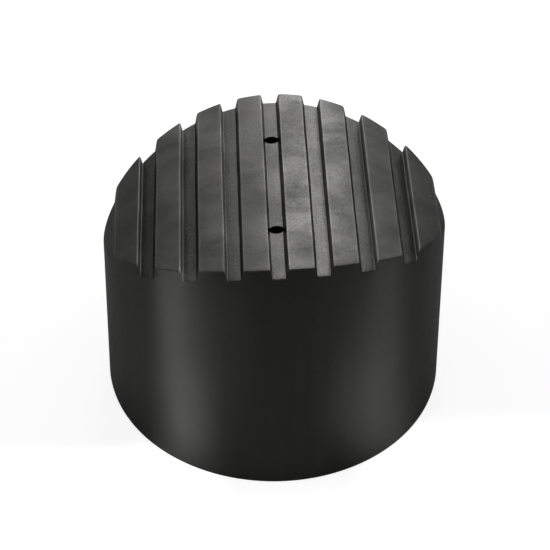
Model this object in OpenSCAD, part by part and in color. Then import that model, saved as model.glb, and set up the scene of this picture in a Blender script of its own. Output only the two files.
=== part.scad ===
// Moulded rubber foot for a round leg: a plain cup whose closed end is a ribbed
// tread. It stands on its open rim with the tread upwards. The origin is at the
// middle of the rim, Z points from the rim to the tread, and the ribs run along Y.

/* [Body] */
// Thickness of the round wall
wall_t = 6; // [4.5:0.25:10]
// Height of the rib tops over the rim, on the middle line
body_h = 37.7; // [34:0.1:48]
// Rounding of the outer edge of the rim
rim_round = 0.3; // [0.1:0.1:1.5]

/* [Socket] */
// Diameter of the socket that the leg is pushed into
socket_d = 38; // [32:0.5:42]
// Depth of the socket from the rim
socket_depth = 24; // [14:0.5:25]
// Lead-in chamfer round the mouth of the socket
socket_chamfer = 1; // [0.4:0.1:1.5]

/* [Tread] */
// Fall of the tread from the front to the rear, in degrees
tread_rake = 12; // [0:0.5:14]
// Rise of the tread from the left to the right, in degrees
tread_lean = 2.5; // [0:0.5:4]
// Radius of the crowned surface across the ribs
crown_r = 45; // [40:1:90]

/* [Ribs] */
// Number of ribs, even so that a groove lies in the middle
rib_count = 8; // [4:2:8]
// Distance from one rib to the next
rib_pitch = 6.2; // [5:0.1:7]
// Width of a groove at the rib tops
groove_w = 2.55; // [1.8:0.05:3.4]
// Depth of a groove under the rib tops
groove_depth = 1.7; // [0.8:0.1:2.4]
// Draft of the groove walls, in degrees
groove_draft = 10; // [2:1:16]
// Rounding along the edges of each rib
rib_edge_r = 0.3; // [0.1:0.05:0.5]

/* [Vents] */
// Diameter of the two vents in the middle groove
vent_d = 2.1; // [1.2:0.1:2.6]
// Distance between the vents along the groove
vent_spacing = 25.5; // [12:0.5:28]
// Offset of the pair of vents towards the rear
vent_shift = 0.75; // [-2:0.25:2]

/* [Hidden] */
$fn = 144;
edge_fn = 48;
// Facets in the rounding of a rib edge
edge_steps = 4;
last_part = (edge_steps - 1) / edge_steps;
socket_r = socket_d / 2;
body_r = socket_r + wall_t;
body_d = 2 * body_r;
rib_w = rib_pitch - groove_w;
// Radius of the surface that joins the groove floors
floor_r = crown_r - groove_depth;
// How far a rib is carried on below the groove floor, into the solid
rib_root = groove_depth + 1.5;
// Length of the tread block and height of the blank, beyond every corner of the body
tread_len = body_d * 1.5;
blank_h = body_h + body_d;
// Extra reach of a cutting shape past the face that it cuts
cut_over = 2;

// Middle of a rib, counted from the left
function rib_x(i) = (i - (rib_count - 1) / 2) * rib_pitch;

// Height of a circle of radius r over its centre
function crown_y(x, r) = sqrt(r * r - x * x);

// Centre of the rounding at one upper corner of a rib, touching its wall and the crown.
// The side is -1 for the left corner and 1 for the right one.
function wall_off(x, side) =
    side * x * cos(groove_draft) + crown_y(x, crown_r) * sin(groove_draft) - rib_edge_r;
function wall_up(x, side) =
    sqrt(pow(crown_r - rib_edge_r, 2) - pow(wall_off(x, side), 2));
function corner(x, side) = [
    side * (wall_off(x, side) * cos(groove_draft) - wall_up(x, side) * sin(groove_draft)),
    wall_off(x, side) * sin(groove_draft) + wall_up(x, side) * cos(groove_draft)
];

// Direction of the rounding, from square to the wall (0) to square to the crown (1)
function edge_dir(x, side, part) =
    groove_draft + part * (atan2(corner(x, side)[1], side * corner(x, side)[0]) - groove_draft);
function edge_pt(x, side, part) =
    corner(x, side)
    + rib_edge_r * [side * cos(edge_dir(x, side, part)), sin(edge_dir(x, side, part))];

// Foot of the wall inside the solid, and the last facet carried on through the crown
function wall_foot(x, side) =
    edge_pt(x, side, 0) + rib_root * [side * tan(groove_draft), -1];
function run_out(x, side) =
    edge_pt(x, side, last_part)
    + 2 * rib_edge_r * [-side * sin(edge_dir(x, side, last_part)), cos(edge_dir(x, side, last_part))];

// Outline of one side of a rib from its foot to above the crown
function side_outline(x, side) = concat(
    [wall_foot(x, side)],
    [for (k = [0 : edge_steps - 1]) edge_pt(x, side, k / edge_steps)],
    [run_out(x, side), run_out(x, side) + [0, cut_over]]
);
function reversed(points) = [for (k = [len(points) - 1 : -1 : 0]) points[k]];

// Section of one rib: drafted walls, rounded corners and a top that follows the crown
module rib_section(i) {
    intersection() {
        circle(r = crown_r);
        polygon(concat(
            side_outline(rib_x(i) - rib_w / 2, -1),
            reversed(side_outline(rib_x(i) + rib_w / 2, 1))
        ));
    }
}

// Section across the tread: the groove floors on one arc, the ribs on the arc above
module tread_section() {
    circle(r = floor_r);
    for (i = [0 : rib_count - 1])
        rib_section(i);
}

// The section drawn out along the ribs, then tilted about the middle of the tread
module tread_block() {
    translate([0, 0, body_h])
        rotate([-tread_rake, 0, 0])
            rotate([0, -tread_lean, 0])
                rotate([90, 0, 0])
                    translate([0, -crown_r, 0])
                        linear_extrude(height = tread_len, center = true)
                            tread_section();
}

// Round wall with its rounded rim edge, taller than the foot before the tread cuts it
module body_blank() {
    rotate_extrude()
        union() {
            square([body_r - rim_round, blank_h]);
            translate([0, rim_round])
                square([body_r, blank_h - rim_round]);
            translate([body_r - rim_round, rim_round])
                circle(r = rim_round, $fn = edge_fn);
        }
}

// Blind socket for the leg, with a lead-in at its mouth
module socket() {
    translate([0, 0, -cut_over])
        cylinder(h = socket_depth + cut_over, r = socket_r);
    cylinder(h = socket_chamfer, r1 = socket_r + socket_chamfer, r2 = socket_r);
    translate([0, 0, -cut_over])
        cylinder(h = cut_over, r = socket_r + socket_chamfer);
}

// Air vents from the middle groove down into the socket
module vents() {
    for (side = [-1, 1])
        translate([0, vent_shift + side * vent_spacing / 2, socket_depth - cut_over])
            cylinder(h = blank_h, d = vent_d, $fn = edge_fn);
}

module rubber_foot() {
    color([0.16, 0.16, 0.155])
        difference() {
            intersection() {
                body_blank();
                tread_block();
            }
            socket();
            vents();
        }
}

rubber_foot();
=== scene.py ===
"""Moulded rubber foot with a crowned, ribbed tread, standing on its rim in a pale studio."""

import math

import bpy
from bpy.props import (
    BoolProperty,
    FloatProperty,
    FloatVectorProperty,
    IntProperty,
    PointerProperty,
)
from mathutils import Matrix, Vector


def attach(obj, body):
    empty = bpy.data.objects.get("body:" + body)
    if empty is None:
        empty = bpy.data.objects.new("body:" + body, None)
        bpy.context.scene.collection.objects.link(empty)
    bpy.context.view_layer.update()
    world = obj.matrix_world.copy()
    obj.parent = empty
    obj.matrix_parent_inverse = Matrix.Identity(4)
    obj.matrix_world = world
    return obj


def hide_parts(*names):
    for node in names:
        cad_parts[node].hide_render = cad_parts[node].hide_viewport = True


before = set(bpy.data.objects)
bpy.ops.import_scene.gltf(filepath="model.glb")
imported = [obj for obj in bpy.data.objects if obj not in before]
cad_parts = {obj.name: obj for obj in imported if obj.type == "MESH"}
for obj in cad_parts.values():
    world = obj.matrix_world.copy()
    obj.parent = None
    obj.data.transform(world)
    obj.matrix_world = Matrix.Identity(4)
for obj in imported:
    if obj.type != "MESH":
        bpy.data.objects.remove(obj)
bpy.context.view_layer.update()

bl_info = {
    "name": "Rubber foot",
    "version": (1, 0, 0),
    "blender": (4, 5, 0),
    "location": "View3D > Sidebar > Rubber foot",
    "description": "Builds a ribbed rubber foot for a round leg and the studio round it",
    "category": "Add Mesh",
}

MM = 0.001
NODE = "rubber_foot"


# Sizes and colours
class FootShape(bpy.types.PropertyGroup):
    """Sizes of the rubber foot."""

    body_radius: FloatProperty(
        name="Body radius", description="Outside radius of the round wall",
        default=25.0 * MM, min=15.0 * MM, max=45.0 * MM, unit="LENGTH", subtype="DISTANCE")
    height: FloatProperty(
        name="Height", description="Height of the rib tops over the rim, on the middle line",
        default=37.7 * MM, min=30.0 * MM, max=60.0 * MM, unit="LENGTH", subtype="DISTANCE")
    rim_round: FloatProperty(
        name="Rim rounding", description="Rounding of the outer edge of the rim",
        default=0.3 * MM, min=0.1 * MM, max=2.0 * MM, unit="LENGTH", subtype="DISTANCE")
    socket_radius: FloatProperty(
        name="Socket radius", description="Radius of the socket for the leg",
        default=19.0 * MM, min=8.0 * MM, max=40.0 * MM, unit="LENGTH", subtype="DISTANCE")
    socket_depth: FloatProperty(
        name="Socket depth", description="Depth of the socket from the rim",
        default=24.0 * MM, min=10.0 * MM, max=26.0 * MM, unit="LENGTH", subtype="DISTANCE")
    socket_chamfer: FloatProperty(
        name="Socket chamfer", description="Lead-in round the mouth of the socket",
        default=1.0 * MM, min=0.2 * MM, max=2.0 * MM, unit="LENGTH", subtype="DISTANCE")
    crown_radius: FloatProperty(
        name="Crown radius", description="Radius of the tread across the ribs",
        default=45.0 * MM, min=30.0 * MM, max=120.0 * MM, unit="LENGTH", subtype="DISTANCE")
    rake: FloatProperty(
        name="Rake", description="Fall of the tread from the front to the rear",
        default=math.radians(12.0), min=0.0, max=math.radians(16.0), unit="ROTATION", subtype="ANGLE")
    lean: FloatProperty(
        name="Lean", description="Rise of the tread from the left to the right",
        default=math.radians(2.5), min=0.0, max=math.radians(6.0), unit="ROTATION", subtype="ANGLE")
    rib_pitch: FloatProperty(
        name="Rib pitch", description="Distance from one rib to the next",
        default=6.2 * MM, min=4.0 * MM, max=9.0 * MM, unit="LENGTH", subtype="DISTANCE")
    groove_width: FloatProperty(
        name="Groove width", description="Width of a groove at the rib tops",
        default=2.55 * MM, min=1.5 * MM, max=4.0 * MM, unit="LENGTH", subtype="DISTANCE")
    groove_depth: FloatProperty(
        name="Groove depth", description="Depth of a groove under the rib tops",
        default=1.7 * MM, min=0.5 * MM, max=3.0 * MM, unit="LENGTH", subtype="DISTANCE")
    groove_draft: FloatProperty(
        name="Groove draft", description="Draft of the groove walls",
        default=math.radians(10.0), min=math.radians(3.0), max=math.radians(20.0),
        unit="ROTATION", subtype="ANGLE")
    rib_edge: FloatProperty(
        name="Rib edge rounding", description="Softness of the upper edges of the ribs",
        default=0.22 * MM, min=0.05 * MM, max=0.8 * MM, unit="LENGTH", subtype="DISTANCE")
    groove_fillet: FloatProperty(
        name="Groove fillet", description="Softness of the corners of the groove floors",
        default=0.15 * MM, min=0.05 * MM, max=0.6 * MM, unit="LENGTH", subtype="DISTANCE")
    tread_edge: FloatProperty(
        name="Tread edge rounding", description="Rounding where the tread meets the round wall",
        default=0.14 * MM, min=0.05 * MM, max=1.5 * MM, unit="LENGTH", subtype="DISTANCE")
    vent_radius: FloatProperty(
        name="Vent radius", description="Radius of the two vents",
        default=1.05 * MM, min=0.4 * MM, max=2.0 * MM, unit="LENGTH", subtype="DISTANCE")
    vent_spacing: FloatProperty(
        name="Vent spacing", description="Distance between the vents along the groove",
        default=25.5 * MM, min=8.0 * MM, max=32.0 * MM, unit="LENGTH", subtype="DISTANCE")
    vent_shift: FloatProperty(
        name="Vent shift", description="Offset of the vents towards the rear",
        default=0.75 * MM, min=-4.0 * MM, max=4.0 * MM, unit="LENGTH", subtype="DISTANCE")
    waviness: FloatProperty(
        name="Waviness", description="How far the rib edges wander from a straight line",
        default=0.055 * MM, min=0.0, max=0.4 * MM, unit="LENGTH", subtype="DISTANCE")
    seed: IntProperty(name="Seed", description="Seed of the waviness", default=7, min=0, max=999)


class RubberFinish(bpy.types.PropertyGroup):
    """Finish of the moulded rubber."""

    colour: FloatVectorProperty(
        name="Rubber", description="Colour of the clean rubber",
        default=(0.027, 0.0265, 0.0245), min=0.0, max=1.0, size=3, subtype="COLOR")
    # along the rib edges this bloom colour serves as painted highlight
    bloom_and_highlight_colour: FloatVectorProperty(
        name="Bloom", description="Colour of the dull bloom on the tread and along its edges",
        default=(0.052, 0.051, 0.0475), min=0.0, max=1.0, size=3, subtype="COLOR")
    # painted highlight: pale colour of the bright lines along the edges of the outer ribs
    painted_highlight_colour: FloatVectorProperty(
        name="Highlights", description="Colour of the scuffed edges of the outer ribs",
        default=(0.42, 0.414, 0.40), min=0.0, max=1.0, size=3, subtype="COLOR")
    sheen_tint: FloatVectorProperty(
        name="Sheen", description="Tint of the sheen",
        default=(1.0, 0.98, 0.945), min=0.0, max=1.0, size=3, subtype="COLOR")
    roughness: FloatProperty(
        name="Roughness", description="Roughness of the clean rubber",
        default=0.36, min=0.2, max=0.9, subtype="FACTOR")
    grain_size: FloatProperty(
        name="Grain size", description="Size of the moulded grain",
        default=0.22 * MM, min=0.05 * MM, max=1.0 * MM, unit="LENGTH", subtype="DISTANCE")
    grain_height: FloatProperty(
        name="Grain height", description="Height of the moulded grain",
        default=0.016 * MM, min=0.0, max=0.1 * MM, unit="LENGTH", subtype="DISTANCE")


class StudioSettings(bpy.types.PropertyGroup):
    """Camera, floor and lamps."""

    focal_length: FloatProperty(
        name="Focal length", description="Focal length of the camera, in millimetres",
        default=186.438, min=20.0, max=400.0)
    floor_size: FloatProperty(
        name="Floor size", description="Side of the square floor",
        default=6.0, min=1.0, max=20.0, unit="LENGTH", subtype="DISTANCE")
    rear_power: FloatProperty(
        name="Rear panel", description="Power of the wide panel behind the foot",
        default=0.43, min=0.0, max=20.0, unit="POWER")
    key_power: FloatProperty(
        name="Rear softbox", description="Power of the softbox behind the foot, above the panel",
        default=0.40, min=0.0, max=20.0, unit="POWER")
    side_power: FloatProperty(
        name="Side softbox", description="Power of the weak softbox at the left",
        default=0.10, min=0.0, max=20.0, unit="POWER")
    floor_power: FloatProperty(
        name="Floor panel", description="Power of the panel that lights the floor behind the foot",
        default=0.26, min=0.0, max=20.0, unit="POWER")
    pool_power: FloatProperty(
        name="Pools on the floor", description="Power of the narrow strips that light the floor by the foot",
        default=0.0041, min=0.0, max=1.0, precision=4, unit="POWER")
    ceiling_power: FloatProperty(
        name="Ceiling panel", description="Power of the soft panel over the foot",
        default=0.38, min=0.0, max=20.0, unit="POWER")
    fill: FloatProperty(
        name="Fill", description="Strength of the even light from all round",
        default=0.155, min=0.0, max=1.0)
    mirrored: FloatProperty(
        name="White in the sheen", description="Share of the white surroundings seen in a sheen",
        default=0.012, min=0.0, max=1.0)
    show_floor: BoolProperty(name="Floor", description="Lay a pale floor under the foot", default=True)


# Node helpers
NODES_PER_COLUMN = 6
NODE_SPACING = (220, -190)
TINY = 1e-6


class Tree:
    """Adds nodes to a tree and joins their sockets."""

    def __init__(self, tree):
        self.tree = tree
        self.count = 0

    def put(self, value, socket):
        """Joins a socket to the one given, or sets its value."""
        if isinstance(value, bpy.types.NodeSocket):
            self.tree.links.new(value, socket)
        else:
            socket.default_value = value

    def add(self, kind, inputs=None, label="", **props):
        """A new node, with its inputs joined or set."""
        node = self.tree.nodes.new(kind)
        column, row = divmod(self.count, NODES_PER_COLUMN)
        node.location = (NODE_SPACING[0] * column, NODE_SPACING[1] * row)
        self.count += 1
        node.label = label
        for key, value in props.items():
            setattr(node, key, value)
        for key, value in (inputs or {}).items():
            self.put(value, node.inputs[key])
        return node

    def maths(self, operation, *values):
        """Result of one sum on sockets or numbers."""
        node = self.add("ShaderNodeMath", operation=operation)
        for socket, value in zip(node.inputs, values, strict=False):
            self.put(value, socket)
        return node.outputs[0]

    def plus(self, first, second):
        return self.maths("ADD", first, second)

    def minus(self, first, second):
        return self.maths("SUBTRACT", first, second)

    def times(self, first, second):
        return self.maths("MULTIPLY", first, second)

    def over(self, first, second):
        return self.maths("DIVIDE", first, second)

    def square(self, value):
        return self.times(value, value)

    def root(self, value):
        """Square root, and 0 for anything below 0."""
        return self.maths("SQRT", self.maths("MAXIMUM", value, 0.0))

    def reach(self, across, along):
        """Distance from the axis."""
        return self.root(self.plus(self.square(across), self.square(along)))

    def bell(self, value):
        """Bell curve: 1 where the value is 0, and almost 0 from 2 on."""
        return self.maths("POWER", math.e, self.times(self.square(value), -1.0))

    def clamp(self, value):
        """The value, kept from 0 to 1."""
        return self.add("ShaderNodeClamp", {"Value": value, "Min": 0.0, "Max": 1.0}).outputs[0]

    def total(self, start, *terms):
        """The start plus each term times its weight."""
        for value, weight in terms:
            start = self.plus(start, self.times(value, weight))
        return start

    def remap(self, value, low, high, to_low, to_high, **props):
        """The value moved from one range to another."""
        return self.add("ShaderNodeMapRange", {
            "Value": value, "From Min": low, "From Max": high, "To Min": to_low, "To Max": to_high},
            **props).outputs[0]

    def noise(self, place, look):
        """Soft noise from 0 to 1."""
        return self.add("ShaderNodeTexNoise", {"Vector": place, **look}).outputs[0]

    def combine(self, x, y, z):
        return self.add("ShaderNodeCombineXYZ", {0: x, 1: y, 2: z}).outputs[0]

    def parts(self, vector):
        return self.add("ShaderNodeSeparateXYZ", {0: vector}).outputs

    def vector(self, operation, first, second):
        return self.add("ShaderNodeVectorMath", {0: first, 1: second}, operation=operation).outputs[0]


def tree_input(tree, name, kind, value=None, subtype="NONE"):
    """A new input of a node tree."""
    socket = tree.interface.new_socket(name=name, in_out="INPUT", socket_type=kind)
    if subtype != "NONE":
        socket.subtype = subtype
    if value is not None:
        socket.default_value = value


def tree_output(tree, name, kind):
    """A new output of a node tree."""
    tree.interface.new_socket(name=name, in_out="OUTPUT", socket_type=kind)


# Shape
# inputs of the foot's tree: name, the size it takes, subtype
FOOT_INPUTS = (
    ("Body Radius", "body_radius", "DISTANCE"),
    ("Height", "height", "DISTANCE"),
    ("Rim Rounding", "rim_round", "DISTANCE"),
    ("Socket Radius", "socket_radius", "DISTANCE"),
    ("Socket Depth", "socket_depth", "DISTANCE"),
    ("Socket Chamfer", "socket_chamfer", "DISTANCE"),
    ("Crown Radius", "crown_radius", "DISTANCE"),
    ("Rake", "rake", "ANGLE"),
    ("Lean", "lean", "ANGLE"),
    ("Rib Pitch", "rib_pitch", "DISTANCE"),
    ("Groove Width", "groove_width", "DISTANCE"),
    ("Groove Depth", "groove_depth", "DISTANCE"),
    ("Groove Draft", "groove_draft", "ANGLE"),
    ("Rib Edge", "rib_edge", "DISTANCE"),
    ("Groove Fillet", "groove_fillet", "DISTANCE"),
    ("Tread Edge", "tread_edge", "DISTANCE"),
    ("Vent Radius", "vent_radius", "DISTANCE"),
    ("Vent Spacing", "vent_spacing", "DISTANCE"),
    ("Vent Shift", "vent_shift", "DISTANCE"),
    ("Waviness", "waviness", "DISTANCE"),
)

# what the tread tells the finish, each from 0 to 1
MARKS = ("groove", "side", "rib_edge", "bright_edge", "outline", "tread")

# points closer than this are welded
WELD = 0.002 * MM
# edges that bend more than this stay sharp
SHARP_ANGLE = math.radians(32)

# waves a metre, across and along the ribs, of the hand of the mould
WANDER_ACROSS = 330.0
WANDER_ALONG = 95.0
WANDER = {"Scale": 1.0, "Detail": 1.5, "Roughness": 0.45}

# how far the softness of a corner reaches, for each unit of its rounding
FLOOR_CORNER_REACH = 3.0
RIB_EDGE_REACH = 2.6
# near the end of a rib its edges grow softer, fully at the rear and by a share of it at the front
RIB_END_LENGTH = 1.1 * MM
RIB_END_REACH = 3.9
FRONT_SHARE = 0.1

# the painted highlight line along the foot of a groove wall
FOOT_LINE_INSET = 0.03 * MM
FOOT_LINE_WIDTH = 0.07 * MM
# the painted highlight line along its lip is this much thinner than the rib edge
LIP_THINNESS = 2.0
# a groove wall is where the ground is neither floor nor rib top
SIDE_GAIN = 8.0
SIDE_START = 0.3

# rings that draw the outline of the tread down the wall, round the rim and into the socket
FIRST_DROP = 0.004
WALL_ROWS = 12
WALL_BASE = 3.0 * MM
ARC_STEPS = 5
RIM_LAND = 1.5 * MM
MOUTH_EDGE = 0.15 * MM
CHAMFER_IN = 0.03 * MM
CHAMFER_UP = 0.06 * MM
SOCKET_ROWS = (0.15, 0.32, 0.5, 0.68, 0.85)
SOCKET_CORNER = 0.6 * MM
FLOOR_RINGS = (0.9, 0.78, 0.6, 0.4, 0.2, 0.06)
VENT_SIDES = 40

# columns of the sheet, for each half groove and the rib beside it
FLOOR_COLUMNS = (0.0, 0.45, 0.75)
CORNER_COLUMNS = (-0.13, -0.08, -0.04, 0.0, 0.04, 0.08)
WALL_COLUMNS = (0.42, 0.58, 0.74, 0.88)
RIB_COLUMNS = (-0.005, 0.03, 0.065, 0.1, 0.15, 0.22, 0.32, 0.5, 0.8, 1.2, 1.6)
GROOVES_A_SIDE = 5
SIDE_DEGREES = range(2, 26, 2)
OUTER_MARGIN = 0.02 * MM
LEAST_SPACING = 0.012 * MM
COLUMN_DIGITS = 8
# rows of the sheet, from the middle to one end
CHORD_ROWS = 26
END_ROWS = 6


def ring_group():
    """One step that draws the open edge of a shell out to a new radius and height."""
    tree = bpy.data.node_groups.new("Draw out ring", "GeometryNodeTree")
    tree_input(tree, "Shell", "NodeSocketGeometry")
    tree_input(tree, "Edge", "NodeSocketBool")
    tree_input(tree, "Radius", "NodeSocketFloat", 0.01, "DISTANCE")
    tree_input(tree, "Height", "NodeSocketFloat", 0.0, "DISTANCE")
    tree_input(tree, "Share", "NodeSocketFloat", 1.0)
    tree_output(tree, "Shell", "NodeSocketGeometry")
    tree_output(tree, "Edge", "NodeSocketBool")
    t = Tree(tree)
    given = t.add("NodeGroupInput").outputs
    extrude = t.add(
        "GeometryNodeExtrudeMesh",
        {"Mesh": given["Shell"], "Selection": given["Edge"], "Offset Scale": 0.0}, mode="EDGES")
    part = t.parts(t.add("GeometryNodeInputPosition").outputs[0])
    scale = t.over(given["Radius"], t.maths("MAXIMUM", t.reach(part[0], part[1]), TINY))
    rise = t.times(t.minus(given["Height"], part[2]), given["Share"])
    target = t.combine(t.times(part[0], scale), t.times(part[1], scale), t.plus(part[2], rise))
    moved = t.add("GeometryNodeSetPosition", {
        "Geometry": extrude.outputs["Mesh"], "Selection": extrude.outputs["Top"], "Position": target})
    out = t.add("NodeGroupOutput")
    t.put(moved.outputs[0], out.inputs["Shell"])
    t.put(extrude.outputs["Top"], out.inputs["Edge"])
    return tree


def plan_nodes(t, g):
    """Where each point of the sheet lies in plan, and how near it is to the rounded outline."""
    part = t.parts(t.add("GeometryNodeInputPosition").outputs[0])
    across, along = part[0], part[1]
    # rows: up to 1 they divide the chord, from 1 to 2 they follow the rounding at its end
    size = t.maths("ABSOLUTE", along)
    inner = t.maths("MINIMUM", size, 1.0)
    bend = t.times(t.maths("MAXIMUM", t.minus(size, 1.0), 0.0), math.pi / 2)
    inset = t.times(g["Tread Edge"], t.minus(1.0, t.maths("SINE", bend)))
    edge = t.minus(g["Body Radius"], inset)
    chord = t.root(t.minus(t.square(edge), t.square(across)))
    y = t.times(t.times(t.maths("SIGN", along), inner), chord)
    far = t.reach(across, y)
    rounding = t.clamp(t.over(t.minus(far, t.minus(g["Body Radius"], g["Tread Edge"])), g["Tread Edge"]))
    return across, y, far, rounding


def rib_nodes(t, g, section, y, far):
    """Height over the groove floors, with soft corners that grow softer at the rib ends."""
    place = t.combine(t.times(section, WANDER_ACROSS), t.times(y, WANDER_ALONG), g["Seed"])
    wander = t.minus(t.noise(place, WANDER), 0.5)
    section = t.plus(section, t.times(wander, t.times(g["Waviness"], 2.0)))
    off = t.maths("PINGPONG", section, t.times(g["Rib Pitch"], 0.5))
    slope = t.maths("TANGENT", g["Groove Draft"])
    floor_half = t.minus(t.times(g["Groove Width"], 0.5), t.times(g["Groove Depth"], slope))
    wall = t.over(t.minus(off, floor_half), slope)
    lifted = t.maths("SMOOTH_MAX", wall, 0.0, t.times(g["Groove Fillet"], FLOOR_CORNER_REACH))
    end_start = t.minus(g["Body Radius"], RIB_END_LENGTH)
    near_end = t.remap(far, end_start, g["Body Radius"], 0.0, RIB_END_REACH, clamp=True)
    at_rear = t.maths("GREATER_THAN", y, 0.0)
    share = t.plus(FRONT_SHARE, t.times(at_rear, 1.0 - FRONT_SHARE))
    softness = t.times(g["Rib Edge"], t.plus(RIB_EDGE_REACH, t.times(near_end, share)))
    lift = t.maths("MAXIMUM", t.maths("SMOOTH_MIN", lifted, g["Groove Depth"], softness), 0.0)
    return section, off, floor_half, lift


def mark_nodes(t, g, section, off, floor_half, lift):
    """What the finish needs to know: how deep in a groove, on its walls, and how near their edges."""
    sunk = t.clamp(t.minus(1.0, t.over(lift, g["Groove Depth"])))
    side = t.times(t.times(sunk, t.minus(1.0, sunk)), SIDE_GAIN)
    side = t.clamp(t.minus(side, SIDE_START))
    to_edge = t.over(t.minus(off, t.times(g["Groove Width"], 0.5)), g["Rib Edge"])
    rib_edge = t.times(t.bell(to_edge), t.minus(1.0, sunk))
    # painted highlight lines, only on the walls that face the middle of the tread
    lip = t.bell(t.times(to_edge, LIP_THINNESS))
    foot = t.bell(t.over(t.minus(off, t.minus(floor_half, FOOT_LINE_INSET)), FOOT_LINE_WIDTH))
    nearest = t.times(g["Rib Pitch"], t.maths("ROUND", t.over(section, g["Rib Pitch"])))
    in_groove = t.minus(section, nearest)
    faces_middle = t.maths("GREATER_THAN", t.times(in_groove, section), 0.0)
    bright = t.clamp(t.times(t.maths("MAXIMUM", lip, foot), faces_middle))
    return sunk, side, rib_edge, bright


def tread_nodes(t, g, sheet):
    """Shapes the flat sheet into the tread: crown, ribs, grooves, rake, lean and rounded outline."""
    across, y, far, rounding = plan_nodes(t, g)
    drop = t.times(g["Tread Edge"], t.minus(1.0, t.root(t.minus(1.0, t.square(rounding)))))
    # place across the ribs, measured in the leaning section
    crown = g["Crown Radius"]
    centre_x = t.times(crown, t.maths("SINE", g["Lean"]))
    centre_z = t.times(crown, t.times(t.maths("COSINE", g["Lean"]), -1.0))
    from_centre = t.minus(across, centre_x)
    turn = t.plus(t.maths("ARCSINE", t.over(from_centre, crown)), g["Lean"])
    section = t.times(crown, t.maths("SINE", turn))
    section, off, floor_half, lift = rib_nodes(t, g, section, y, far)
    # height: the crown's arch through this point, raked along the ribs
    radius = t.plus(t.minus(crown, g["Groove Depth"]), lift)
    arch = t.plus(centre_z, t.root(t.minus(t.square(radius), t.square(from_centre))))
    z = t.plus(g["Height"], t.over(arch, t.maths("COSINE", g["Rake"])))
    z = t.minus(z, t.times(y, t.maths("TANGENT", g["Rake"])))
    z = t.minus(z, drop)
    marked = sheet
    values = (*mark_nodes(t, g, section, off, floor_half, lift), rounding, 1.0)
    for name, value in zip(MARKS, values, strict=True):
        marked = t.add("GeometryNodeStoreNamedAttribute", {
            "Geometry": marked, "Name": name, "Value": value},
            data_type="FLOAT", domain="POINT").outputs[0]
    shaped = t.add("GeometryNodeSetPosition", {
        "Geometry": marked, "Position": t.combine(across, y, z)}).outputs[0]
    return t.add("GeometryNodeMergeByDistance", {"Geometry": shaped, "Distance": WELD}).outputs[0]


def quarter_round():
    """Steps of a quarter round, as shares of its radius inwards and from its far side."""
    for step in range(ARC_STEPS):
        angle = math.pi / 2 * step / (ARC_STEPS - 1)
        yield 1.0 - math.cos(angle), 1.0 - math.sin(angle)


def ring_steps(t, g):
    """Radius and height of each ring from the tread to the middle of the socket's floor."""
    body, hole = g["Body Radius"], g["Socket Radius"]
    rim, chamfer, depth = g["Rim Rounding"], g["Socket Chamfer"], g["Socket Depth"]
    steps = [(body, WALL_BASE, FIRST_DROP)]
    steps += [(body, WALL_BASE, 1.0 / (WALL_ROWS - row)) for row in range(WALL_ROWS)]
    steps.append((body, t.times(rim, 2.0), 1.0))
    for inwards, height in quarter_round():
        steps.append((t.minus(body, t.times(rim, inwards)), t.times(rim, height), 1.0))
    mouth = t.plus(hole, chamfer)
    steps.append((t.plus(mouth, RIM_LAND), 0.0, 1.0))
    steps.append((t.plus(mouth, MOUTH_EDGE), 0.0, 1.0))
    steps.append((t.minus(mouth, CHAMFER_IN), CHAMFER_UP, 1.0))
    steps.append((t.plus(hole, CHAMFER_IN), t.minus(chamfer, CHAMFER_UP), 1.0))
    steps.append((hole, t.plus(chamfer, MOUTH_EDGE), 1.0))
    steps += [(hole, t.times(depth, part), 1.0) for part in SOCKET_ROWS]
    for inwards, height in quarter_round():
        steps.append((t.minus(hole, SOCKET_CORNER * inwards), t.minus(depth, SOCKET_CORNER * height), 1.0))
    steps += [(t.times(hole, part), depth, 1.0) for part in FLOOR_RINGS]
    steps.append((0.0, depth, 1.0))
    return steps


def shell_nodes(t, g, tread):
    """Draws the outline of the tread down the wall, round the rim and up into the socket."""
    ring = ring_group()
    open_edge = t.add("FunctionNodeCompare", data_type="INT", operation="EQUAL")
    t.put(t.add("GeometryNodeInputMeshEdgeNeighbors").outputs[0], open_edge.inputs[2])
    open_edge.inputs[3].default_value = 1
    shell, edge = tread, open_edge.outputs[0]
    for number, (radius, height, share) in enumerate(ring_steps(t, g)):
        step = t.add("GeometryNodeGroup", label=f"Ring {number + 1}", node_tree=ring)
        t.put(shell, step.inputs["Shell"])
        t.put(edge, step.inputs["Edge"])
        t.put(radius, step.inputs["Radius"])
        t.put(height, step.inputs["Height"])
        t.put(share, step.inputs["Share"])
        shell, edge = step.outputs["Shell"], step.outputs["Edge"]
        if number == 0:
            # the wall below the tread carries none of the tread's marks
            for name in MARKS:
                shell = t.add("GeometryNodeStoreNamedAttribute", {
                    "Geometry": shell, "Selection": edge, "Name": name, "Value": 0.0},
                    data_type="FLOAT", domain="POINT").outputs[0]
    return t.add("GeometryNodeMergeByDistance", {"Geometry": shell, "Distance": WELD}).outputs[0]


def vent_nodes(t, g, shell):
    """Drills the two vents from the middle groove into the socket."""
    front = t.minus(g["Vent Shift"], t.times(g["Vent Spacing"], 0.5))
    line = t.add("GeometryNodeMeshLine", {
        "Count": 2,
        "Start Location": t.combine(0.0, front, g["Height"]),
        "Offset": t.combine(0.0, g["Vent Spacing"], 0.0)})
    drill = t.add("GeometryNodeMeshCylinder", {
        "Vertices": VENT_SIDES, "Side Segments": 1, "Radius": g["Vent Radius"], "Depth": g["Height"]})
    drills = t.add("GeometryNodeInstanceOnPoints", {
        "Points": line.outputs[0], "Instance": drill.outputs[0]}).outputs[0]
    drills = t.add("GeometryNodeRealizeInstances", {"Geometry": drills}).outputs[0]
    cut = t.add("GeometryNodeMeshBoolean", {"Mesh 1": shell, "Mesh 2": drills},
                operation="DIFFERENCE", solver="MANIFOLD")
    return cut.outputs[0]


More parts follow.
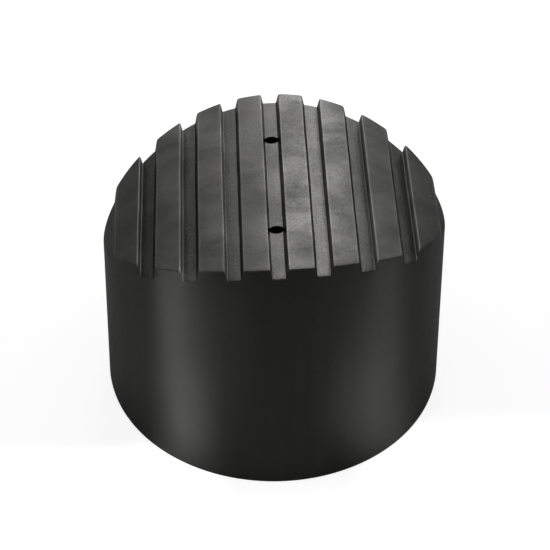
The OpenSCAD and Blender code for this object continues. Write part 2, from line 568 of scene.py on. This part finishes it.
def foot_tree():
    """Node tree of the whole foot, from its sizes."""
    tree = bpy.data.node_groups.new("Ribbed rubber foot", "GeometryNodeTree")
    tree_input(tree, "Sheet", "NodeSocketGeometry")
    for name, _, subtype in FOOT_INPUTS:
        tree_input(tree, name, "NodeSocketFloat", subtype=subtype)
    tree_input(tree, "Seed", "NodeSocketFloat")
    tree_input(tree, "Material", "NodeSocketMaterial")
    tree_output(tree, "Foot", "NodeSocketGeometry")
    t = Tree(tree)
    g = t.add("NodeGroupInput").outputs
    tread = tread_nodes(t, g, g["Sheet"])
    shell = shell_nodes(t, g, tread)
    drilled = vent_nodes(t, g, shell)
    soft_edge = t.add("FunctionNodeCompare", data_type="FLOAT", operation="LESS_THAN")
    t.put(t.add("GeometryNodeInputMeshEdgeAngle").outputs[0], soft_edge.inputs[0])
    soft_edge.inputs[1].default_value = SHARP_ANGLE
    shaded = t.add("GeometryNodeSetShadeSmooth", {
        "Geometry": drilled, "Shade Smooth": True}, domain="FACE").outputs[0]
    shaded = t.add("GeometryNodeSetShadeSmooth", {
        "Geometry": shaded, "Shade Smooth": soft_edge.outputs[0]}, domain="EDGE").outputs[0]
    painted = t.add("GeometryNodeSetMaterial", {"Geometry": shaded, "Material": g["Material"]}).outputs[0]
    t.put(painted, t.add("NodeGroupOutput").inputs["Foot"])
    return tree


def column_places(shape):
    """Places across the tread, close together on the groove walls and towards the two sides."""
    half_top = shape.groove_width / 2
    half_floor = half_top - shape.groove_depth * math.tan(shape.groove_draft)
    steps = [half_floor * share for share in FLOOR_COLUMNS]
    steps += [half_floor + step * MM for step in CORNER_COLUMNS]
    steps += [half_floor + (half_top - half_floor) * share for share in WALL_COLUMNS]
    steps += [half_top + step * MM for step in RIB_COLUMNS]
    limit = shape.body_radius
    centre = shape.crown_radius * math.sin(shape.lean)
    places = {-limit, limit}
    for groove in range(-GROOVES_A_SIDE, GROOVES_A_SIDE + 1):
        for step in steps:
            for side in (-1, 1):
                section = groove * shape.rib_pitch + side * step
                turn = math.asin(section / shape.crown_radius) - shape.lean
                x = centre + shape.crown_radius * math.sin(turn)
                if abs(x) < limit - OUTER_MARGIN:
                    places.add(round(x, COLUMN_DIGITS))
    for degree in SIDE_DEGREES:
        for side in (-1, 1):
            places.add(round(side * limit * math.cos(math.radians(degree)), COLUMN_DIGITS))
    ordered = sorted(places)
    kept = [ordered[0]]
    for x in ordered[1:]:
        if x - kept[-1] > LEAST_SPACING:
            kept.append(x)
    kept[-1] = limit
    return kept


def row_places():
    """Places along the tread: up to 1 they divide the chord, from 1 to 2 its rounded end."""
    half = [row / CHORD_ROWS for row in range(CHORD_ROWS + 1)]
    half += [1.0 + row / END_ROWS for row in range(1, END_ROWS + 1)]
    return [-place for place in reversed(half[1:])] + half


def sheet_mesh(shape):
    """Flat sheet whose columns are spaced for the ribs."""
    columns, rows = column_places(shape), row_places()
    points = [(x, v, 0.0) for v in rows for x in columns]
    wide = len(columns)
    faces = [
        (r * wide + c, r * wide + c + 1, (r + 1) * wide + c + 1, (r + 1) * wide + c)
        for r in range(len(rows) - 1) for c in range(wide - 1)
    ]
    mesh = bpy.data.meshes.new("tread_sheet")
    mesh.from_pydata(points, [], faces)
    return mesh


def plain_mesh(obj, name):
    """Turns an object with live modifiers into a plain mesh and clears them."""
    depsgraph = bpy.context.evaluated_depsgraph_get()
    mesh = bpy.data.meshes.new_from_object(obj.evaluated_get(depsgraph), depsgraph=depsgraph)
    mesh.name = name
    obj.modifiers.clear()
    obj.data = mesh


# Finish
# the wear is strongest where the crown meets the ground, a little right of the middle
WEAR_MIDDLE = 2.5 * MM
WEAR_FULL = 3.0 * MM
WEAR_END = 15.0 * MM
WEAR_LEAST = 0.25

# where the soft patches of bloom fall on the tread, and how strong they are
PATCH_SHIFT = (0.189, 0.133, 0.027)
PATCHES = {"Scale": 120.0, "Detail": 4.0, "Roughness": 0.56, "Distortion": 0.3}
PATCH_LOW = 0.28
PATCH_HIGH = 0.72
PATCH_STRENGTH = 0.62
GROOVE_PATCHES_LOST = 0.55

SPECKS = {"Scale": 1900.0, "Detail": 2.0, "Roughness": 0.6}
GRAIN = {"Detail": 2.5, "Roughness": 0.6}
# streaks: up the wall, and along the grooves
UPRIGHT = (420.0, 420.0, 14.0)
UPRIGHT_STREAKS = {"Scale": 1.0, "Detail": 3.0, "Roughness": 0.55}
UPRIGHT_STRENGTH = 0.22
LENGTHWAYS = (2600.0, 70.0, 70.0)
LENGTHWAYS_STREAKS = {"Scale": 1.0, "Detail": 2.0, "Roughness": 0.5}
LENGTHWAYS_STRENGTH = 0.5
# slow unevenness of moulded rubber under the grain
SWELL = {"Scale": 260.0, "Detail": 2.0, "Roughness": 0.5}
SWELL_HEIGHT = 0.03 * MM

# bloom: mostly on the tread, most along its edges, less in the grooves; along the rib edges the extra bloom
# is painted highlight, and the bloom taken off the groove walls is painted shade
TREAD_BLOOM = 0.4
PATCH_BLOOM = 0.35
EDGE_HIGHLIGHT_BLOOM = 0.5
OUTLINE_BLOOM = 0.3
SPECK_BLOOM = 0.35
GROOVE_BLOOM_LOST = 0.12
SIDE_BLOOM_LOST = 0.5

# painted shade: the groove walls are darkened towards black
WALL_SHADE_COLOUR = (0.004, 0.004, 0.004)
WALL_SHADE_SHARE = 0.75
# strength of the painted highlight lines on the outer edges
PAINTED_HIGHLIGHT_STRENGTH = 1.15

ROUGH_PATCHES = 0.03
ROUGH_TREAD_PATCHES = 0.11
ROUGH_SPECKS = 0.18

# sheen: broken up by the grain, most where the tread is worn
SHEEN = 0.5
BROKEN_WALL = 0.3
BROKEN_WEAR = 1.15
BROKEN_GROOVE = 0.9
SHEEN_PATCHES = 0.18
# the outer ribs and grooves are duller than the worn middle
DULL_FROM = 0.62
DULL_GROOVE = 0.3
DULL_TREAD = 0.16
SIDE_SHEEN_LOST = 0.92
EDGE_SHEEN = 0.55


def new_material(name):
    """Empty node material and its tree."""
    material = bpy.data.materials.new(name)
    material.use_nodes = True
    material.node_tree.nodes.clear()
    return material, Tree(material.node_tree)


def blend(t, factor, first, second):
    """Colour between two others."""
    mix = t.add("ShaderNodeMix", data_type="RGBA")
    t.put(factor, mix.inputs["Factor"])
    t.put(first, mix.inputs[6])
    t.put(second, mix.inputs[7])
    return mix.outputs[2]


def rubber_material(finish):
    """Black moulded rubber: fine grain, dull bloom in soft patches, painted highlight along the edges,
    painted shade on the groove walls.
    """
    material, t = new_material("moulded_rubber")
    place = t.add("ShaderNodeTexCoord").outputs["Object"]
    groove, side, rib_edge, bright_edge, outline, tread = (
        t.add("ShaderNodeAttribute", attribute_name=name).outputs["Fac"] for name in MARKS)
    from_middle = t.maths("ABSOLUTE", t.minus(t.parts(place)[0], WEAR_MIDDLE))
    wear = t.remap(from_middle, WEAR_FULL, WEAR_END, 1.0, WEAR_LEAST, interpolation_type="SMOOTHSTEP")
    # soft patches, weaker down in the grooves
    patches = t.noise(t.vector("ADD", place, PATCH_SHIFT), PATCHES)
    patches = t.remap(patches, PATCH_LOW, PATCH_HIGH, -PATCH_STRENGTH, PATCH_STRENGTH,
                      interpolation_type="SMOOTHSTEP")
    patches = t.times(patches, t.minus(1.0, t.times(groove, GROOVE_PATCHES_LOST)))
    specks = t.minus(t.noise(place, SPECKS), 0.5)
    grain = t.minus(t.noise(place, {"Scale": 1.0 / finish.grain_size, **GRAIN}), 0.5)
    upright = t.minus(t.noise(t.vector("MULTIPLY", place, UPRIGHT), UPRIGHT_STREAKS), 0.5)
    lengthways = t.minus(t.noise(t.vector("MULTIPLY", place, LENGTHWAYS), LENGTHWAYS_STREAKS), 0.5)
    streaks = t.plus(t.times(upright, t.times(t.minus(1.0, tread), UPRIGHT_STRENGTH)),
                     t.times(lengthways, t.times(groove, LENGTHWAYS_STRENGTH)))
    # bloom in the colour: along the rib edges it is painted highlight, on the groove walls it is taken off as
    # painted shade
    bloom = t.times(tread, t.plus(TREAD_BLOOM, t.times(patches, PATCH_BLOOM)))
    bloom = t.clamp(t.total(
        bloom, (rib_edge, EDGE_HIGHLIGHT_BLOOM), (outline, OUTLINE_BLOOM), (specks, SPECK_BLOOM),
        (groove, -GROOVE_BLOOM_LOST), (side, -SIDE_BLOOM_LOST)))
    colour = blend(t, bloom, (*finish.colour, 1.0), (*finish.bloom_and_highlight_colour, 1.0))
    # painted shade: the groove walls are darkened towards black
    colour = blend(t, t.times(side, WALL_SHADE_SHARE), colour, (*WALL_SHADE_COLOUR, 1.0))
    # painted highlight: pale lines on the outer edges that face the middle
    painted_highlight = t.clamp(t.times(bright_edge, t.times(t.minus(1.0, wear), PAINTED_HIGHLIGHT_STRENGTH)))
    colour = blend(t, painted_highlight, colour, (*finish.painted_highlight_colour, 1.0))
    # roughness wanders with the patches and the specks
    uneven = t.plus(ROUGH_PATCHES, t.times(tread, ROUGH_TREAD_PATCHES))
    rough = t.minus(finish.roughness, t.times(patches, uneven))
    rough = t.plus(rough, t.times(specks, ROUGH_SPECKS))
    broken = t.plus(t.times(wear, BROKEN_WEAR), t.times(groove, BROKEN_GROOVE))
    broken = t.plus(BROKEN_WALL, t.times(tread, broken))
    dull = t.times(t.minus(wear, DULL_FROM), t.plus(t.times(groove, DULL_GROOVE), t.times(tread, DULL_TREAD)))
    sheen = t.plus(SHEEN, t.times(grain, broken))
    sheen = t.plus(sheen, t.times(patches, t.times(tread, SHEEN_PATCHES)))
    sheen = t.plus(t.plus(sheen, dull), streaks)
    sheen = t.times(sheen, t.minus(1.0, t.times(side, SIDE_SHEEN_LOST)))
    sheen = t.clamp(t.plus(sheen, t.times(rib_edge, EDGE_SHEEN)))
    swell = t.add("ShaderNodeBump", {
        "Strength": 1.0, "Distance": SWELL_HEIGHT, "Height": t.noise(place, SWELL)}).outputs[0]
    bump = t.add("ShaderNodeBump", {
        "Strength": 1.0, "Distance": finish.grain_height, "Height": grain, "Normal": swell}).outputs[0]
    shader = t.add("ShaderNodeBsdfPrincipled", {
        "Base Color": colour, "Roughness": rough, "Specular IOR Level": sheen,
        "Specular Tint": (*finish.sheen_tint, 1.0), "Normal": bump})
    t.put(shader.outputs[0], t.add("ShaderNodeOutputMaterial").inputs["Surface"])
    return material


WHITE = (1.0, 1.0, 1.0, 1.0)
FLOOR_GREY = (0.38, 0.38, 0.38, 1.0)
FLOOR_GLOW = 0.86
# the floor inside the socket lies in the dark
DARK_RADIUS = 22.0 * MM


def sees_white(t, mirrored):
    """How white the surroundings look: fully to the camera and through glass, partly in a sheen."""
    rays = t.add("ShaderNodeLightPath").outputs
    straight = t.maths("MAXIMUM", rays["Is Camera Ray"], rays["Is Transmission Ray"])
    return t.maths("MAXIMUM", straight, t.times(rays["Is Glossy Ray"], mirrored))


def floor_material(mirrored):
    """Pale floor: white to the camera, dim in the sheen of the rubber, with the shadow kept."""
    material, t = new_material("pale_floor")
    place = t.add("ShaderNodeTexCoord").outputs["Object"]
    far = t.add("ShaderNodeVectorMath", {0: place}, operation="LENGTH").outputs["Value"]
    outside = t.maths("GREATER_THAN", far, DARK_RADIUS)
    strength = t.times(t.times(sees_white(t, mirrored), outside), FLOOR_GLOW)
    both = t.add("ShaderNodeAddShader", {
        0: t.add("ShaderNodeBsdfDiffuse", {"Color": FLOOR_GREY}).outputs[0],
        1: t.add("ShaderNodeEmission", {"Color": WHITE, "Strength": strength}).outputs[0]})
    t.put(both.outputs[0], t.add("ShaderNodeOutputMaterial").inputs["Surface"])
    return material


def studio_world(fill, mirrored):
    """White to the camera, soft and even on the object."""
    world = bpy.data.worlds.new("studio")
    world.use_nodes = True
    world.node_tree.nodes.clear()
    t = Tree(world.node_tree)
    mix = t.add("ShaderNodeMixShader", {
        0: sees_white(t, mirrored),
        1: t.add("ShaderNodeBackground", {"Color": WHITE, "Strength": fill}).outputs[0],
        2: t.add("ShaderNodeBackground", {"Color": WHITE, "Strength": 1.0}).outputs[0]})
    t.put(mix.outputs[0], t.add("ShaderNodeOutputWorld").inputs["Surface"])
    return world


# Studio
MIDDLE = (0.0, 0.0, 0.02)
# lamps that face the middle of the foot: name, place, width and height, setting of the power
LAMPS = (
    ("rear_panel", (0.02, 0.575, 0.175), (0.54, 0.28), "rear_power"),
    ("rear_softbox", (0.068, 0.552, 0.245), (0.17, 0.26), "key_power"),
    ("side_softbox", (-0.5, -0.29, 0.17), (0.2, 0.2), "side_power"),
    ("ceiling_panel", (0.0, 0.0, 0.6), (0.6, 0.6), "ceiling_power"),
)
# the panel over the floor behind the foot
FLOOR_PANEL_BACK = 0.21
FLOOR_PANEL_HEIGHT = 0.3
FLOOR_PANEL_SIZE = (0.5, 0.3)
FLOOR_PANEL_SPREAD = math.radians(35)
# strips that light the floor beside the foot; the round wall mirrors them as soft bands
# name, place across, place along, width, depth, share of the power
POOLS = (
    ("left_foot_pool", -0.0165, -0.0235, 0.008, 0.005, 0.09),
    ("left_near_pool", -0.0300, -0.0268, 0.022, 0.008, 0.60),
    ("left_far_pool", -0.0560, -0.0335, 0.030, 0.016, 1.55),
    ("left_front_pool", -0.0260, -0.0450, 0.022, 0.020, 0.16),
    ("right_pool", 0.0420, -0.0262, 0.052, 0.018, 1.08),
    ("front_pool", -0.004, -0.0450, 0.090, 0.038, 0.75),
)
POOL_HEIGHT = 0.12
POOL_SPREAD = math.radians(7)
# the floor lies this little under the rim
FLOOR_LEVEL = -0.02 * MM
FLOOR_CORNERS = ((-1, -1), (1, -1), (1, 1), (-1, 1))

# camera: its place and its sensor in millimetres, and its right and up directions
CAMERA_PLACE = (-9.6606, -306.7159, 311.0558)
CAMERA_RIGHT = (0.9995986, -0.02799148, 0.00437363)
CAMERA_UP = (0.01616085, 0.69015915, 0.72347715)
SENSOR_WIDTH = 36.0
CLIP_START = 0.01


def add_lamp(context, name, place, target, size, power, spread=math.pi):
    """Soft lamp at a place, facing a target, that the camera doesn't see."""
    lamp = bpy.data.lights.new(name, "AREA")
    lamp.shape = "RECTANGLE"
    lamp.size, lamp.size_y = size
    lamp.energy = power
    lamp.spread = spread
    obj = bpy.data.objects.new(name, lamp)
    context.scene.collection.objects.link(obj)
    obj.location = place
    obj.rotation_euler = (Vector(target) - Vector(place)).to_track_quat("-Z", "Y").to_euler()
    obj.visible_camera = False


def add_floor(context, studio):
    """Pale square floor just under the rim."""
    half = studio.floor_size / 2
    mesh = bpy.data.meshes.new("floor")
    mesh.from_pydata([(x * half, y * half, FLOOR_LEVEL) for x, y in FLOOR_CORNERS], [], [(0, 1, 2, 3)])
    mesh.materials.append(floor_material(studio.mirrored))
    floor = bpy.data.objects.new("floor", mesh)
    context.scene.collection.objects.link(floor)


def add_camera(context, focal_length):
    """Long-lens camera in front of the foot, looking down on its tread."""
    camera = bpy.data.cameras.new("camera")
    camera.lens = focal_length
    camera.sensor_width = SENSOR_WIDTH
    camera.clip_start = CLIP_START
    eye = bpy.data.objects.new("camera", camera)
    context.scene.collection.objects.link(eye)
    right, up = Vector(CAMERA_RIGHT), Vector(CAMERA_UP)
    turn = Matrix((right, up, right.cross(up))).transposed()
    eye.matrix_world = Matrix.Translation(Vector(CAMERA_PLACE) * MM) @ turn.to_4x4()
    context.scene.camera = eye


# Operators
class FOOT_OT_add_foot(bpy.types.Operator):
    """Make the rubber foot from its sizes and dress it in moulded rubber"""

    bl_idname = "foot.add_foot"
    bl_label = "Add rubber foot"

    def execute(self, context):
        shape = context.scene.foot_shape
        foot = bpy.data.objects.new("ribbed_foot", sheet_mesh(shape))
        context.scene.collection.objects.link(foot)
        material = rubber_material(context.scene.rubber_finish)
        modifier = foot.modifiers.new("Ribbed rubber foot", "NODES")
        tree = foot_tree()
        modifier.node_group = tree
        ids = {item.name: item.identifier for item in tree.interface.items_tree if item.in_out == "INPUT"}
        for name, size, _ in FOOT_INPUTS:
            modifier[ids[name]] = getattr(shape, size)
        modifier[ids["Seed"]] = float(shape.seed)
        modifier[ids["Material"]] = material
        plain_mesh(foot, "ribbed_foot")
        if not foot.data.polygons:
            raise RuntimeError("the foot came out empty")
        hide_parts(NODE)
        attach(foot, "root")
        return {"FINISHED"}


class FOOT_OT_add_stage(bpy.types.Operator):
    """Lay the floor, set the lamps and the camera"""

    bl_idname = "foot.add_stage"
    bl_label = "Add studio"

    def execute(self, context):
        studio = context.scene.foot_studio
        if studio.show_floor:
            add_floor(context, studio)
        context.scene.world = studio_world(studio.fill, studio.mirrored)
        for name, place, size, power in LAMPS:
            add_lamp(context, name, place, MIDDLE, size, getattr(studio, power))
        add_lamp(
            context, "floor_panel", (0.0, FLOOR_PANEL_BACK, FLOOR_PANEL_HEIGHT),
            (0.0, FLOOR_PANEL_BACK, 0.0), FLOOR_PANEL_SIZE, studio.floor_power, FLOOR_PANEL_SPREAD)
        for name, x, y, wide, deep, share in POOLS:
            add_lamp(
                context, name, (x, y, POOL_HEIGHT), (x, y, 0.0), (wide, deep),
                studio.pool_power * share, POOL_SPREAD)
        add_camera(context, studio.focal_length)
        context.scene.view_settings.view_transform = "Standard"
        return {"FINISHED"}


class FOOT_PT_panel(bpy.types.Panel):
    """Sizes, finish and studio of the rubber foot"""

    bl_idname = "FOOT_PT_panel"
    bl_label = "Rubber foot"
    bl_space_type = "VIEW_3D"
    bl_region_type = "UI"
    bl_category = "Rubber foot"

    def draw(self, context):
        layout = self.layout
        for title, group, kind, operator in (
            ("Foot", context.scene.foot_shape, FootShape, "foot.add_foot"),
            ("Finish", context.scene.rubber_finish, RubberFinish, None),
            ("Studio", context.scene.foot_studio, StudioSettings, "foot.add_stage"),
        ):
            box = layout.box()
            box.label(text=title)
            for name in kind.__annotations__:
                box.prop(group, name)
            if operator:
                box.operator(operator)


CLASSES = (FootShape, RubberFinish, StudioSettings, FOOT_OT_add_foot, FOOT_OT_add_stage, FOOT_PT_panel)


def register():
    for cls in CLASSES:
        bpy.utils.register_class(cls)
    bpy.types.Scene.foot_shape = PointerProperty(type=FootShape)
    bpy.types.Scene.rubber_finish = PointerProperty(type=RubberFinish)
    bpy.types.Scene.foot_studio = PointerProperty(type=StudioSettings)


def unregister():
    del bpy.types.Scene.foot_studio
    del bpy.types.Scene.rubber_finish
    del bpy.types.Scene.foot_shape
    for cls in reversed(CLASSES):
        bpy.utils.unregister_class(cls)


def main():
    register()
    bpy.ops.foot.add_foot()
    bpy.ops.foot.add_stage()


if __name__ == "__main__":
    main()
